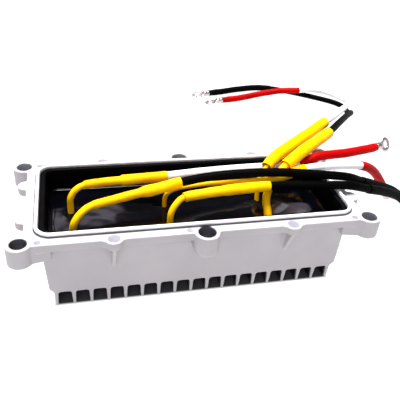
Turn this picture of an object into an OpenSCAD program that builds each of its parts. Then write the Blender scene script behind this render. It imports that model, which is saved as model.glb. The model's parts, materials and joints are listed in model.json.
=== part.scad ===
// Potted micro inverter: an open die-cast housing with cooling fins, filled with black resin over a
// circuit board with three wound parts, and six spliced leads that end in ring terminals.
// Millimetres. The fin tips stand on z = 0, the length runs along X, and the origin is the base centre.

/* [Housing] */
// Outside length of the tub, under the flange
tub_l = 180; // [150:1:230]
// Outside width of the tub, under the flange
tub_w = 72; // [60:1:100]
// Height from the fin tips to the flange top
housing_h = 51; // [46:1:80]
// Height of the cooling fins
fin_h = 10; // [6:0.5:16]
// Number of cooling fins
fin_count = 18; // [8:1:22]
// Thickness of a fin at its tip
fin_tip_t = 1.5; // [1.2:0.1:2.5]
// Extra fin thickness at its root
fin_root_extra = 0.9; // [0.2:0.1:1.5]
// Radius in the corners between the fins
fin_root_r = 1.3; // [0.5:0.1:2]
// Thickness of the tub floor
floor_t = 3; // [2:0.5:6]
// Thickness of the end walls
end_wall_t = 2.1; // [1.6:0.1:4]
// Thickness of the side walls
side_wall_t = 3.4; // [2.4:0.1:5]
// Inward draft of each end wall, over its height
end_draft = 2.6; // [0.5:0.1:4]
// Inward draft of each side wall, over its height
side_draft = 1.4; // [0.5:0.1:3]

/* [Flange] */
// Thickness of the flange plate
flange_t = 5; // [3:0.5:8]
// How far the flange stands out past each end wall
flange_out_x = 8; // [6:0.5:14]
// How far the flange stands out past each side wall
flange_out_y = 6; // [5:0.5:12]
// Height of the corner ears and of the side bosses
ear_h = 12; // [8:0.5:20]
// Radius of the corner ears
ear_r = 6.8; // [6.5:0.1:10]
// Diameter of the corner holes
corner_hole_d = 9; // [5:0.1:11]
// Distance of a corner hole outside the flange's end edge
ear_out = 2; // [0:0.5:4]
// Distance of a corner hole inside the flange's side edge
ear_in = 3; // [1:0.5:6]
// Radius of the two side bosses
boss_r = 7.3; // [6.5:0.1:10]
// Diameter of the side boss holes
boss_hole_d = 10; // [5:0.1:11]
// Radius of the small pads along the flange
pad_r = 5; // [4:0.5:7]
// Distance of the side pads from the middle
pad_x = 51; // [40:1:65]
// Distance of the end pads from the middle
end_pad_y = 17; // [12:1:22]
// Diameter of the round marks on the side pads
pad_mark_d = 7; // [4:0.5:8]
// Diameter of the small marks beside the corner ears
small_mark_d = 3.6; // [2:0.1:5]
// Depth of the round marks
mark_depth = 0.3; // [0.1:0.1:0.6]

/* [Seal] */
// Width of the sealing lip and of the gasket on it
lip_w = 2.2; // [1.6:0.1:4]
// Height of the lip above the flange
lip_h = 1; // [0.5:0.1:3]
// Height of the gasket above the lip
gasket_h = 1.6; // [1:0.1:3]
// Depth of the ledge below the flange top
ledge_depth = 1.6; // [1:0.1:3]

/* [Filling] */
// Wall of the insulating tray
tray_t = 0.9; // [0.6:0.1:2]
// Depth of the resin surface below the flange top
resin_depth = 14; // [8:0.5:18]
// Thickness of the thermal pad
pad_t = 1.5; // [0.5:0.1:3]
// Thickness of the circuit board
board_t = 1.6; // [0.8:0.2:2.4]
// Gap between the circuit board and the tray wall
board_gap = 2; // [1:0.5:4]
// Length of a wound core
core_l = 34; // [26:1:44]
// Depth of a wound core
core_w = 14; // [10:1:20]
// Height of a pair of core halves
core_h = 16.6; // [12:0.2:19]

/* [Leads] */
// Diameter of the lead wire
wire_d = 5.4; // [4:0.1:6]
// Outside diameter of the splice sleeves
splice_d = 6.5; // [6:0.1:6.6]
// Diameter of the larger splice sleeves, on leads e and f
large_splice_d = 8.2; // [7:0.1:8.4]
// Outside diameter of the end sleeves
end_sleeve_d = 6.3; // [6:0.1:6.4]
// Outside diameter of a terminal ring
ring_d = 11; // [8:0.5:14]
// Hole diameter of a terminal ring
ring_hole_d = 5.3; // [3.2:0.1:6.5]
// Thickness of a terminal's tongue
tongue_t = 1; // [0.6:0.1:1.6]
// Width of a terminal's tongue
tongue_w = 5; // [3:0.5:6]
// Length of a terminal's tongue, from its barrel to its ring
tongue_l = 2.5; // [2:0.5:6]
// Diameter of a terminal's barrel
barrel_d = 6; // [5:0.1:6.2]
// Length of a terminal's barrel past its sleeve
barrel_l = 5.5; // [4:0.5:8]

/* [Hidden] */
leads = ["a", "b", "c", "d", "e", "f"];
lead_parts = ["tail_sleeve", "splice_sleeve", "wire", "end_sleeve", "ring_terminal"];
stations = ["left", "middle", "right"];
station_parts = ["core_lower", "core_upper", "coil_former", "winding"];

fine = 64;
eps = 0.01;
tray_fit = 0.05;

// Housing levels and half sizes
hl = tub_l / 2;
hw = tub_w / 2;
top_z = housing_h;
flange_z = top_z - flange_t;
ledge_z = top_z - ledge_depth;
cavity_z = fin_h + floor_t;
fl = hl + flange_out_x;
fw = hw + flange_out_y;
ear_x = fl + ear_out;
ear_y = fw - ear_in;
boss_y = fw - 0.5;
side_pad_y = fw - 1.2;
pad_sweep_r = 5;
sweep_bite = 0.06;
small_mark_x = fl - 7.5;
small_mark_y = fw - 3;
lip_l = tub_l + 5;
lip_ww = tub_w + 1;
cavity_l = tub_l - 2 * end_wall_t;
cavity_w = tub_w - 2 * side_wall_t;
mouth_z = top_z + 2;
inner_side_draft = 1;
corner_r = 6;
fin_inset = 6;
fin_pitch = (tub_l - 2 * fin_inset) / (fin_count - 1);
gap_tip = fin_pitch - fin_tip_t;
gap_root = gap_tip - fin_root_extra;
root_r = min(fin_root_r, gap_root / 2 - 0.2);

// Levels of the filling
tray_floor_z = cavity_z + tray_t;
pad_top_z = tray_floor_z + pad_t;
board_top_z = pad_top_z + board_t;
resin_z = top_z - resin_depth;
board_l = cavity_l - 2 * (end_draft + tray_t + board_gap);
board_w = cavity_w - 2 * (inner_side_draft + tray_t + board_gap);
screw_x = board_l / 2 - 4;
screw_y = board_w / 2 - 4;
screw_r = 1.5;
stud_r = 3.5;

// Wound parts: their places along X, and where their two leads rise
station_x = [-58, -1, 60];
station_y = -6.5;
lead_x = core_l / 2 - 2;
lead_y = core_w / 2 + 4.5;
core_leg = 5;
centre_leg = 10;
former_t = 0.8;
coil_in_l = centre_leg + 2 * former_t + 0.6;
coil_in_w = core_w + 2 * former_t + 0.6;
coil_t = (core_l - 2 * core_leg - coil_in_l) / 2 - 0.3;
window_h = core_h - 2 * core_leg;

// Lead radii
wire_r = wire_d / 2;
sleeve_fit = 0.06;
tube_sides = 10;

// Routes of the six leads, and for each: points, tail radius, then the numbers of the route points where
// the splice sleeve starts, the crimp sits, the splice sleeve ends and the end sleeve starts,
// and the terminal's roll and downward tilt
route_a = [[-73, 5, 37], [-73, 5, 43], [-72.5, 4.5, 48.5], [-69.5, 5.5, 53], [-64, 8, 54.5],
    [-54, 10, 54.5], [-42, 11, 54.5], [-28, 12, 54.5], [-14, 13, 54.5], [8, 17, 53.5], [31, 21, 52],
    [54, 24, 50.6], [68, 24, 50.6], [79, 22, 52.6], [91, 22.5, 57.2], [103, 25.5, 56.5],
    [116, 30, 54.5], [132, 37, 52], [142, 41.5, 50.5], [149, 45, 49.5]];
route_b = [[-73, -18, 37], [-72.5, -19, 42], [-71, -19.5, 48], [-67, -17.5, 52.5], [-61, -14.5, 54.8],
    [-48, -11.5, 56], [-33, -8.5, 57.5], [-21, -7, 59], [-8.5, -4.5, 60.5], [6.5, -3, 62],
    [22, -4, 63.8], [42, -6, 65], [60, -7.2, 64.5], [78, -8.5, 62.8], [89, -9, 61.6],
    [101, -6.5, 58], [115, 0, 50], [132, 7.5, 41], [150, 15.5, 31], [162, 20.5, 22.5], [172, 26, 14.5], [179, 31, 9]];
route_c = [[-16, 5, 37], [-16, 4.5, 43], [-14.5, 3, 48.5], [-8.5, 1.5, 52.5], [5, 1, 54.5],
    [18, -1.5, 56.5], [34, -4.5, 58.8], [46, -4.2, 59], [58, 0, 57.8], [66, 4, 57.2], [76, 8, 57],
    [86, 9.8, 57], [96, 10, 57], [107, 10.5, 56.5], [120, 14, 53.5], [131, 20, 47.5],
    [142, 27, 38.5], [154, 35, 26], [164, 41, 14], [168, 43, 8.5]];
route_d = [[-16, -18, 37], [-16.5, -18, 42], [-16, -17.5, 48], [-13, -15.5, 52.5], [-7.5, -12.5, 55],
    [5, -12, 56.5], [17, -12.5, 58], [31, -12, 58.5], [45, -11.5, 58.5], [60, -11, 57.8],
    [79, -12, 56.9], [90, -12.5, 56.8], [101, -12, 55], [117, -6.5, 48], [134, 1, 40],
    [152, 9, 30], [164, 12.5, 20.5], [172, 15.5, 12.5], [177, 17, 7.5]];
route_e = [[45, 5, 37], [45, 6.5, 43], [45.5, 9, 47.5], [48, 12, 52], [53, 16, 55.5], [60, 22.5, 58],
    [71, 32, 58.3], [87, 45, 58.5], [102, 57, 59], [116, 69, 59], [139, 95, 53], [168, 136, 38],
    [197, 180, 20], [219, 215, 8.5], [221, 233, 4.2], [209, 245.5, 6], [191, 247, 9.4],
    [173, 244, 10.4], [153, 247.5, 8.8], [134, 250, 5.2], [117, 247.5, 3.4], [102, 243, 3.2],
    [86, 240, 3.2]];
route_f = [[45, -18, 37], [45, -15.5, 42], [45.5, -9, 47], [50, -1, 51.5], [57.5, 6.5, 54.7],
    [64, 11.5, 58.4], [77.5, 21, 61.6], [93.5, 35, 60.8], [113, 54, 58], [141, 90, 48],
    [171, 131.5, 33.5], [199, 172, 16.5], [210, 196, 5.5], [214, 210, 3], [212, 222, 2.8], [204, 232, 2.8],
    [188, 245, 2.8], [174, 255, 2.8], [160, 263, 3], [149, 268, 3.2], [132, 271, 3.2],
    [110, 267.5, 3.2], [92, 262.5, 3.2], [76, 259, 3.2]];
lead_data = [
    [route_a, 1.9, 4, 7, 8, 13, 60, 0],
    [route_b, 2.1, 5, 6, 8, 16, 10, -23],
    [route_c, 1.4, 7, 8, 10, 14, 10, -41],
    [route_d, 1.9, 4, 6, 8, 13, -10, -40],
    [route_e, 1.5, 4, 7, 9, 17, 6, 8],
    [route_f, 2.5, 5, 6, 8, 19, -6, 8]];
wire_shades = ["whitesmoke", "black", "whitesmoke", "black", "whitesmoke", "black"];
end_shades = ["red", "black", "red", "black", "red", "black"];

// A smooth curve through the points, with steps pieces between each pair
function before(p, i) = i > 0 ? p[i - 1] : 2 * p[0] - p[1];
function after(p, i) = i + 2 < len(p) ? p[i + 2] : 2 * p[i + 1] - p[i];
function curve_point(a, b, c, d, t) =
    0.5 * (2 * b + (c - a) * t + (2 * a - 5 * b + 4 * c - d) * t * t
           + (3 * b - a - 3 * c + d) * t * t * t);
function smooth_path(p, steps = 2) = concat(
    [for (i = [0:len(p) - 2]) for (k = [0:steps - 1])
        curve_point(before(p, i), p[i], p[i + 1], after(p, i), k / steps)],
    [p[len(p) - 1]]);

// Directions along a path, which leaves the resin straight up, and one side vector per point
// that doesn't twist
function unit(v) = v / norm(v);
function heading(p, i) = i == 0 ? [0, 0, 1] : unit(p[min(i + 1, len(p) - 1)] - p[i - 1]);
function carried(v, t) = unit(v - (v * t) * t);
function side_vectors(p, v, i = 0) =
    i >= len(p) ? [] :
    let (s = carried(v, heading(p, i))) concat([s], side_vectors(p, s, i + 1));
function ring(p, s, i, r, n) =
    let (t = heading(p, i), a = s[i], b = cross(t, a))
    [for (k = [0:n - 1]) p[i] + r * (cos(360 * k / n) * a + sin(360 * k / n) * b)];

// Wall quads between two ring stacks: ring i starts at vertex first + i * n
function wall_faces(first, rings, n, flip = false) =
    [for (i = [0:rings - 2]) for (k = [0:n - 1])
        let (a = first + i * n + k, b = first + i * n + (k + 1) % n)
        flip ? [a, a + n, b + n, b] : [a, b, b + n, a + n]];

module rod(p, from, to, r, n = tube_sides) {
    s = side_vectors(p, [0, 1, 0]);
    rings = to - from + 1;
    points = [for (i = [from:to]) each ring(p, s, i, r, n)];
    ends = [[for (k = [n - 1:-1:0]) k], [for (k = [0:n - 1]) (rings - 1) * n + k]];
    polyhedron([for (q = points) q], [for (w = concat(wall_faces(0, rings, n), ends))
        [for (j = [len(w) - 1:-1:0]) w[j]]]);
}

module pipe(p, from, to, r_out, r_in, n = tube_sides) {
    s = side_vectors(p, [0, 1, 0]);
    rings = to - from + 1;
    inner = rings * n;
    last = (rings - 1) * n;
    points = concat([for (i = [from:to]) each ring(p, s, i, r_out, n)],
                    [for (i = [from:to]) each ring(p, s, i, r_in, n)]);
    start_faces = [for (k = [0:n - 1]) let (j = (k + 1) % n) [j, k, inner + k, inner + j]];
    end_faces = [for (k = [0:n - 1]) let (j = (k + 1) % n)
        [last + k, last + j, inner + last + j, inner + last + k]];
    faces = concat(wall_faces(0, rings, n), wall_faces(inner, rings, n, true), start_faces, end_faces);
    polyhedron(points, [for (w = faces) [for (j = [len(w) - 1:-1:0]) w[j]]]);
}

// A vertical plate with rounded corners, standing on z
module round_plate(l, w, z, h, r) {
    translate([0, 0, z]) {
        translate([-l / 2 + r, -w / 2, 0]) cube([l - 2 * r, w, h]);
        translate([-l / 2, -w / 2 + r, 0]) cube([l, w - 2 * r, h]);
        for (x = [-1, 1]) for (y = [-1, 1])
            translate([x * (l / 2 - r), y * (w / 2 - r), 0]) cylinder(h = h, r = r, $fn = fine);
    }
}

// The drafted space inside the tub between two levels, with its walls moved in by inset
function cavity_lean(z) = (mouth_z - z) / (mouth_z - cavity_z);
function cavity_half_l(z) = cavity_l / 2 - end_draft * cavity_lean(z);
function cavity_half_w(z) = cavity_w / 2 - inner_side_draft * cavity_lean(z);
module cavity_block(inset, z0, z1) {
    l0 = cavity_half_l(z0) - inset;
    l1 = cavity_half_l(z1) - inset;
    w0 = cavity_half_w(z0) - inset;
    w1 = cavity_half_w(z1) - inset;
    intersection() {
        rotate([90, 0, 0]) linear_extrude(tub_w, center = true)
            polygon([[-l0, z0], [l0, z0], [l1, z1], [-l1, z1]]);
        rotate([90, 0, 90]) linear_extrude(tub_l, center = true)
            polygon([[-w0, z0], [w0, z0], [w1, z1], [-w1, z1]]);
        round_plate(2 * l1, 2 * w1, z0 - 1, z1 - z0 + 2, corner_r - inset);
    }
}

module ring_plate(l, w, z, h, r, t) {
    difference() {
        round_plate(l, w, z, h, r);
        round_plate(l - 2 * t, w - 2 * t, z - 1, h + 2, r - t);
    }
}

// Four copies at the corners, and pairs on the long sides and on the ends
module at_corners(x, y) {
    for (i = [-1, 1]) for (j = [-1, 1]) translate([i * x, j * y, 0]) children();
}

module fin_gap() {
    polygon([[-gap_tip / 2, -1], [gap_tip / 2, -1], [gap_root / 2, fin_h - root_r],
             [gap_root / 2 - root_r, fin_h], [-gap_root / 2 + root_r, fin_h],
             [-gap_root / 2, fin_h - root_r]]);
    for (x = [-1, 1]) translate([x * (gap_root / 2 - root_r), fin_h - root_r])
        circle(r = root_r, $fn = 32);
}

module finned_body() {
    intersection() {
        rotate([90, 0, 0]) linear_extrude(tub_w + 2, center = true) difference() {
            polygon([[-hl, flange_z + 1], [-hl + end_draft, cavity_z], [-hl + 5, fin_h],
                     [-hl + 5.5, 0], [hl - 5.5, 0], [hl - 5, fin_h], [hl - end_draft, cavity_z],
                     [hl, flange_z + 1]]);
            for (i = [0:fin_count - 2])
                translate([-hl + fin_inset + (i + 0.5) * fin_pitch, 0]) fin_gap();
        }
        rotate([90, 0, 90]) linear_extrude(tub_l + 2, center = true)
            polygon([[-hw + side_draft + 0.4, 0], [hw - side_draft - 0.4, 0], [hw, flange_z + 1],
                     [-hw, flange_z + 1]]);
        round_plate(tub_l, tub_w, -1, flange_z + 3, corner_r);
    }
}

// A corner ear with a web that runs back into the corner of the tub
module ear() {
    translate([0, 0, top_z - ear_h]) {
        cylinder(h = ear_h, r = ear_r, $fn = fine);
        linear_extrude(ear_h) polygon([[-3, -ear_r + 0.5], [-16, -9], [-16, 1], [-ear_r + 0.5, 3]]);
    }
}

module side_boss() {
    translate([0, 0, top_z - ear_h]) cylinder(h = ear_h, r = boss_r, $fn = fine);
    translate([0, 0, top_z - ear_h - 4.5]) cylinder(h = 4.5, r1 = boss_r - 3.8, r2 = boss_r, $fn = fine);
    translate([-boss_r, -boss_r - 3, top_z - ear_h]) cube([2 * boss_r, boss_r + 3, ear_h]);
}

// The outline of a pad on the flange's edge, with sides that sweep in to the edge
module pad_outline() {
    reach = fw + pad_sweep_r - side_pad_y;
    sweep_x = sqrt(pow(pad_r + pad_sweep_r, 2) - pow(reach, 2));
    touch = pad_r / (pad_r + pad_sweep_r);
    circle(r = pad_r, $fn = fine);
    difference() {
        polygon([[-sweep_x, fw - side_pad_y - 1], [sweep_x, fw - side_pad_y - 1],
                 [sweep_x, fw - side_pad_y], [sweep_x * touch, reach * touch],
                 [-sweep_x * touch, reach * touch], [-sweep_x, fw - side_pad_y]]);
        for (x = [-1, 1]) translate([x * sweep_x, reach]) circle(r = pad_sweep_r + sweep_bite, $fn = fine);
    }
}

module side_pad() {
    translate([0, 0, flange_z]) linear_extrude(flange_t) pad_outline();
    translate([-1.2, 0, 0]) rotate([90, 0, 90]) linear_extrude(2.4)
        polygon([[pad_r - 1, flange_z + 1], [-6.5, flange_z + 1], [-6.5, flange_z - 18],
                 [-5, flange_z - 18]]);
}

module round_mark(d) {
    translate([0, 0, top_z - mark_depth]) cylinder(h = 1, d = d, $fn = fine);
}

module housing() {
    color("gainsboro") difference() {
        union() {
            finned_body();
            round_plate(2 * fl, 2 * fw, flange_z, flange_t, corner_r);
            round_plate(lip_l, lip_ww, top_z - 1, 1 + lip_h, corner_r + 3);
            for (x = [0, 1]) for (y = [0, 1])
                mirror([x, 0, 0]) mirror([0, y, 0]) translate([ear_x, ear_y, 0]) ear();
            for (y = [0, 1]) mirror([0, y, 0]) {
                translate([0, boss_y, 0]) side_boss();
                for (x = [-1, 1]) translate([x * pad_x, side_pad_y, 0]) side_pad();
            }
            for (x = [-1, 1]) for (y = [-1, 1])
                translate([x * fl, y * end_pad_y, flange_z]) cylinder(h = flange_t, r = pad_r, $fn = fine);
        }
        cavity_block(0, cavity_z, mouth_z);
        round_plate(lip_l - 2 * lip_w, lip_ww - 2 * lip_w, ledge_z, 10, corner_r + 1);
        at_corners(ear_x, ear_y)
            translate([0, 0, top_z - ear_h - 1]) cylinder(h = ear_h + 2, d = corner_hole_d, $fn = fine);
        for (y = [-1, 1]) translate([0, y * boss_y, top_z - ear_h - 10])
            cylinder(h = ear_h + 20, d = boss_hole_d, $fn = fine);
        at_corners(pad_x, side_pad_y) round_mark(pad_mark_d);
        at_corners(small_mark_x, small_mark_y) round_mark(small_mark_d);
        translate([-boss_r - 2, -small_mark_y, 0]) round_mark(small_mark_d);
    }
    color("gainsboro") at_corners(screw_x, screw_y) difference() {
        translate([0, 0, cavity_z - 0.5]) cylinder(h = pad_top_z - cavity_z + 0.5, r = stud_r, $fn = fine);
        translate([0, 0, cavity_z]) cylinder(h = 20, r = screw_r, $fn = fine);
    }
}

module rim_gasket() {
    color("white") ring_plate(lip_l - 0.2, lip_ww - 0.2, top_z + lip_h, gasket_h, corner_r + 3, lip_w - 0.2);
}

module insulating_tray() {
    color([0.06, 0.06, 0.06]) difference() {
        union() {
            cavity_block(tray_fit, cavity_z, ledge_z + eps);
            round_plate(lip_l - 2 * lip_w - 0.4, lip_ww - 2 * lip_w - 0.4, ledge_z,
                        ledge_depth + lip_h - 0.1, corner_r + 1);
        }
        cavity_block(tray_t, tray_floor_z, mouth_z);
        at_corners(screw_x, screw_y) translate([0, 0, cavity_z - 1])
            cylinder(h = 5, r = stud_r + 0.1, $fn = fine);
    }
}

module thermal_pad() {
    color("silver") difference() {
        round_plate(board_l, board_w, tray_floor_z, pad_t, 2);
        at_corners(screw_x, screw_y) translate([0, 0, tray_floor_z - 1])
            cylinder(h = pad_t + 2, r = stud_r + 0.2, $fn = fine);
    }
}

module circuit_board() {
    color("darkgreen") difference() {
        round_plate(board_l, board_w, pad_top_z, board_t, 2);
        at_corners(screw_x, screw_y) translate([0, 0, pad_top_z - 1])
            cylinder(h = board_t + 2, r = screw_r + 0.2, $fn = fine);
    }
}

module board_screws() {
    color("silver") at_corners(screw_x, screw_y) {
        translate([0, 0, cavity_z + 0.5])
            cylinder(h = board_top_z - cavity_z, r = screw_r - 0.05, $fn = fine);
        translate([0, 0, board_top_z]) cylinder(h = 2, r = 2.8, $fn = fine);
    }
}

// Transistors stand in a row behind the wound parts, each on three pins
module power_transistors() {
    row_y = board_w / 2 - 4;
    for (i = [0:5]) translate([-50 + 20 * i, row_y, board_top_z]) {
        color([0.08, 0.08, 0.08]) translate([-5, -2.2, 3]) cube([10, 4.4, 9]);
        color("silver") translate([-5, 0.9, 11]) cube([10, 1.3, 6]);
        for (k = [-1, 0, 1]) color("silver") translate([2.54 * k - 0.4, -0.3, 0]) cube([0.8, 0.6, 3.2]);
    }
}

module film_capacitors() {
    row_y = board_w / 2 - 13;
    color("goldenrod") for (x = [-31, 28])
        translate([x - 8, row_y - 4, board_top_z]) round_box(16, 8, 13, 1.5);
    color("goldenrod") for (x = [-29.5, 29.5])
        translate([x - 6, -board_w / 2 + 2, board_top_z]) round_box(12, 8, 15, 1.5);
}

module round_box(l, w, h, r) {
    translate([l / 2, w / 2, 0]) round_plate(l, w, 0, h, r);
}

// An E-shaped core half: a yoke and three legs, with its back on z = 0
module core_half() {
    translate([-core_l / 2, -core_w / 2, 0]) cube([core_l, core_w, core_leg]);
    for (x = [-core_l / 2, core_l / 2 - core_leg])
        translate([x, -core_w / 2, 0]) cube([core_leg, core_w, core_h / 2]);
    translate([-centre_leg / 2, -core_w / 2, 0]) cube([centre_leg, core_w, core_h / 2]);
}

module at_station(i) {
    translate([station_x[i], station_y, board_top_z]) children();
}

module core_lower(i) {
    color([0.2, 0.2, 0.22]) at_station(i) core_half();
}

module core_upper(i) {
    color([0.2, 0.2, 0.22]) at_station(i) translate([0, 0, core_h]) mirror([0, 0, 1]) core_half();
}

module coil_former(i) {
    gap = 0.3;
    inner = [centre_leg + 2 * gap, core_w + 2 * gap];
    wide = [coil_in_l + 2 * coil_t - 0.6, coil_in_w + 2 * coil_t - 0.6];
    h = window_h - 2 * gap;
    color("ivory") at_station(i) translate([0, 0, core_leg + gap]) difference() {
        union() {
            round_plate(inner[0] + 2 * former_t, inner[1] + 2 * former_t, 0, h, former_t);
            for (z = [0, h - former_t]) round_plate(wide[0], wide[1], z, former_t, 2);
        }
        translate([-inner[0] / 2, -inner[1] / 2, -1]) cube([inner[0], inner[1], h + 2]);
    }
}

// Copper turns round the former, with two lead-outs that rise to the resin surface
module winding(i) {
    gap = 0.4;
    h = window_h - 2 * (gap + former_t) - 0.2;
    coil_l = coil_in_l + 2 * coil_t - 1.2;
    coil_w = coil_in_w + 2 * coil_t - 1.2;
    post_r = 1.3;
    mid_h = core_h / 2;
    rise = resin_z - board_top_z;
    color("peru") at_station(i) {
        difference() {
            round_plate(coil_l, coil_w, mid_h - h / 2, h, 3);
            round_plate(coil_in_l, coil_in_w, 0, core_h, former_t);
        }
        for (y = [-1, 1]) {
            translate([-lead_x, y * lead_y, mid_h]) {
                cylinder(h = rise - mid_h, r = post_r, $fn = 32);
                sphere(r = post_r, $fn = 32);
                rotate([0, 90, 0]) cylinder(h = lead_x - coil_l / 2 + 5, r = post_r, $fn = 32);
            }
        }
    }
}

module potting_resin() {
    color([0.03, 0.03, 0.03]) difference() {
        cavity_block(tray_t, tray_floor_z, resin_z);
        thermal_pad();
        circuit_board();
        board_screws();
        at_corners(screw_x, screw_y) translate([0, 0, tray_floor_z - 1])
            cylinder(h = board_top_z - tray_floor_z + 1 + eps, r = stud_r + 0.2, $fn = fine);
        power_transistors();
        film_capacitors();
        for (i = [0:2]) at_station(i) {
            translate([-core_l / 2, -core_w / 2, -eps]) cube([core_l, core_w, core_h + eps]);
            round_plate(coil_in_l + 2 * coil_t - 0.6, coil_in_w + 2 * coil_t - 0.6, core_leg,
                        window_h, 2);
        }
        for (i = [0:2]) winding(i);
    }
}

// Lead pieces: index k picks the lead, and route point numbers are doubled along its smooth path
module tail_sleeve(k) {
    d = lead_data[k];
    color("gold") rod(smooth_path(d[0]), 0, 2 * d[3], d[1]);
}

module splice_crimps() {
    color("silver") for (d = lead_data)
        rod(smooth_path(d[0]), 2 * d[3], 2 * d[3] + 1, wire_r - 0.3);
}

module splice_sleeve(k) {
    d = lead_data[k];
    size = k < 4 ? splice_d : large_splice_d;
    color("yellow") pipe(smooth_path(d[0]), 2 * d[2], 2 * d[4], size / 2, wire_r + sleeve_fit);
}

module lead_wire(k, shade) {
    d = lead_data[k];
    p = smooth_path(d[0]);
    color(shade) rod(p, 2 * d[3] + 1, len(p) - 2, wire_r);
}

module end_sleeve(k, shade) {
    d = lead_data[k];
    p = smooth_path(d[0]);
    color(shade) pipe(p, 2 * d[5], len(p) - 1, end_sleeve_d / 2, wire_r + sleeve_fit);
}

// A crimp ring terminal: a stem in the sleeve, a wide barrel and a neck in line with it, then a tongue
// and a ring, bent towards the level and rolled a little
module ring_terminal(k) {
    d = lead_data[k];
    p = smooth_path(d[0]);
    tip = p[len(p) - 1];
    v = tip - p[len(p) - 2];
    yaw = atan2(v[1], v[0]);
    aim = atan2(-v[2], norm([v[0], v[1]]));
    stem_l = norm(v) - 0.6;
    stem_r = wire_r - 0.9;
    neck_l = 2;
    ring_x = ring_d / 2 + tongue_l;
    color("silver") translate(tip) rotate([0, 0, yaw]) rotate([0, aim, 0]) {
        rotate([0, 90, 0]) {
            translate([0, 0, -stem_l]) cylinder(h = stem_l + 1, r = stem_r, $fn = 32);
            cylinder(h = barrel_l, d = barrel_d, $fn = fine);
            translate([0, 0, barrel_l]) cylinder(h = neck_l, d1 = barrel_d, d2 = tongue_w / 2, $fn = fine);
        }
        translate([barrel_l, 0, 0]) rotate([0, d[7], 0]) rotate([d[6], 0, 0]) difference() {
            union() {
                translate([-1, -tongue_w / 2, -tongue_t / 2]) cube([ring_x + 1, tongue_w, tongue_t]);
                translate([ring_x, 0, -tongue_t / 2]) cylinder(h = tongue_t, d = ring_d, $fn = fine);
            }
            translate([ring_x, 0, -3]) cylinder(h = 6, d = ring_hole_d, $fn = fine);
        }
    }
}

housing();
rim_gasket();
insulating_tray();
thermal_pad();
circuit_board();
board_screws();
power_transistors();
film_capacitors();
potting_resin();
splice_crimps();
for (i = [0:2]) {
    core_lower(i);
    core_upper(i);
    coil_former(i);
    winding(i);
}
for (k = [0:5]) {
    tail_sleeve(k);
    splice_sleeve(k);
    lead_wire(k, wire_shades[k]);
    end_sleeve(k, end_shades[k]);
    ring_terminal(k);
}
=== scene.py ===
"""Potted micro inverter: the looks around the CAD frame. Metres, +Z up, base centre at the origin."""
import json
import math

import bmesh
import bpy
from mathutils import Matrix, Vector, noise


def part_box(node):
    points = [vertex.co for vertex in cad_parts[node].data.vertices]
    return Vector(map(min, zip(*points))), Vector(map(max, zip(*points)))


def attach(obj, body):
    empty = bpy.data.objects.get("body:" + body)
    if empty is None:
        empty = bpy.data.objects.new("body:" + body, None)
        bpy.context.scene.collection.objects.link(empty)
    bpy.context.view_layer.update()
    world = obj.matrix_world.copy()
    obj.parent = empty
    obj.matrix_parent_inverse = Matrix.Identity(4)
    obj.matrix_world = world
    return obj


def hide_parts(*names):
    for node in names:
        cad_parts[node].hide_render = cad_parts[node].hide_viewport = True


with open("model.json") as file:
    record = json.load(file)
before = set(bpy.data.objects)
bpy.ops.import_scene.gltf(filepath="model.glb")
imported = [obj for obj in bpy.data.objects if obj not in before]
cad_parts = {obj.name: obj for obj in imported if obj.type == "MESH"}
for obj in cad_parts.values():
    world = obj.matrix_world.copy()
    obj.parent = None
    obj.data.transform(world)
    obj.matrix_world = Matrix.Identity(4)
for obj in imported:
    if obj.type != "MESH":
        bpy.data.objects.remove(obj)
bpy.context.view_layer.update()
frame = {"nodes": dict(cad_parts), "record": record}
MM = 0.001
BODY = "root"

# ---------------------------------------------------------------- camera
# Where the photo was taken from, its axes and its lens, found by fitting the holes, rim and fins
CAMERA_LENS = 48.13
CAMERA_PLACE = Vector((-0.06766, -0.26661, 0.22939))
CAMERA_RIGHT = Vector((0.97339582, -0.21811323, 0.07019399))
CAMERA_DOWN = Vector((-0.06542014, -0.55815468, -0.82715389))
CAMERA_AHEAD = Vector((0.21959231, 0.80055604, -0.55757443))
camera_data = bpy.data.cameras.new("camera")
camera_data.lens = CAMERA_LENS
camera_data.sensor_width = 36
camera_data.clip_start = 0.01
camera = bpy.data.objects.new("camera", camera_data)
turn = Matrix((CAMERA_RIGHT, -CAMERA_DOWN, -CAMERA_AHEAD)).transposed()
camera.matrix_world = Matrix.Translation(CAMERA_PLACE) @ turn.to_4x4()
bpy.context.scene.collection.objects.link(camera)
bpy.context.scene.camera = camera


# ---------------------------------------------------------------- places on the housing
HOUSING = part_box("housing")[1]
MOUNTS = {row["name"]: row for row in frame["record"]["mounts"]}
EAR_DIMS, BOSS_DIMS = MOUNTS["corner_holes"]["dims"], MOUNTS["side_boss_holes"]["dims"]
CORNER_HOLE = EAR_DIMS["spacing_x_mm"] / 2 * MM, EAR_DIMS["spacing_y_mm"] / 2 * MM
CORNER_HOLE_R = EAR_DIMS["hole_r_mm"] * MM
SIDE_HOLE = 0, BOSS_DIMS["spacing_y_mm"] / 2 * MM
SIDE_HOLE_R = BOSS_DIMS["hole_r_mm"] * MM
LIP_H = 1 * MM
FLANGE_TOP = HOUSING.z - LIP_H
# The rubbed round marks on the flange: their middles and their radii
SIDE_PAD, SIDE_PAD_R = (51 * MM, 40.8 * MM), 3.4 * MM
EAR_MARK, MIDDLE_MARK, SMALL_MARK_R = (90.5 * MM, 39 * MM), (-9.3 * MM, -39 * MM), 1.8 * MM
FIN_TOP = 10 * MM
FIN_FRONT = 34.6 * MM
END_FIN = 84.3 * MM
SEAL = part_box("rim_gasket")[1]
SEAL_CORNER = 9
# The pale patch on the resin that is a painted reflection: its middle and half its size
PAINTED_GLARE_X, PAINTED_GLARE_Y = 64 * MM, -6.5 * MM
PAINTED_GLARE_L, PAINTED_GLARE_W = 13.5 * MM, 6 * MM


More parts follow.
